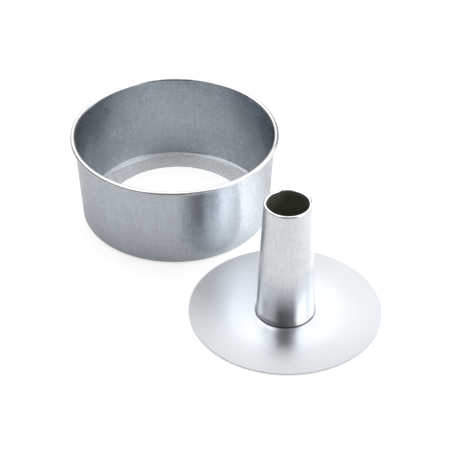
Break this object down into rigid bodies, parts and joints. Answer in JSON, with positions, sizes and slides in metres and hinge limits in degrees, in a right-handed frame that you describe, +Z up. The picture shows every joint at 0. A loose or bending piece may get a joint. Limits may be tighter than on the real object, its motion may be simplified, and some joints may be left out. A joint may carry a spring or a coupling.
{
  "type": "tube cake tin",
  "caption": "Bottomless aluminium cake ring with a curled rim, standing beside its flat base disc with a tapered hollow centre tube.",
  "frame": {"origin": "on the outer ring's axis, at the underside of its bottom flange, which is the plane both pieces stand on", "axes": "+Z up along the ring's axis and the tube's axis, towards the open rim; +X to the right and +Y away from a viewer who sees the base in front and to the right of the ring"},
  "size_m": [0.2586, 0.3077, 0.1086],
  "materials": {
    "ring_sheet": "bare, satin, spun",
    "disc_sheet": "bare, satin, faint turning marks",
    "tube_sheet": "bare, satin, spun"
  },
  "bodies": {
    "ring": {"outer_ring": "ring_sheet"},
    "base": {"base_disc": "disc_sheet", "centre_tube": "tube_sheet"}
  },
  "joints": [
    {"name": "base_lift", "type": "slide", "parent": "ring", "child": "base", "axis": [0, 0, 1], "range_m": [0, 0.15]}
  ]
}
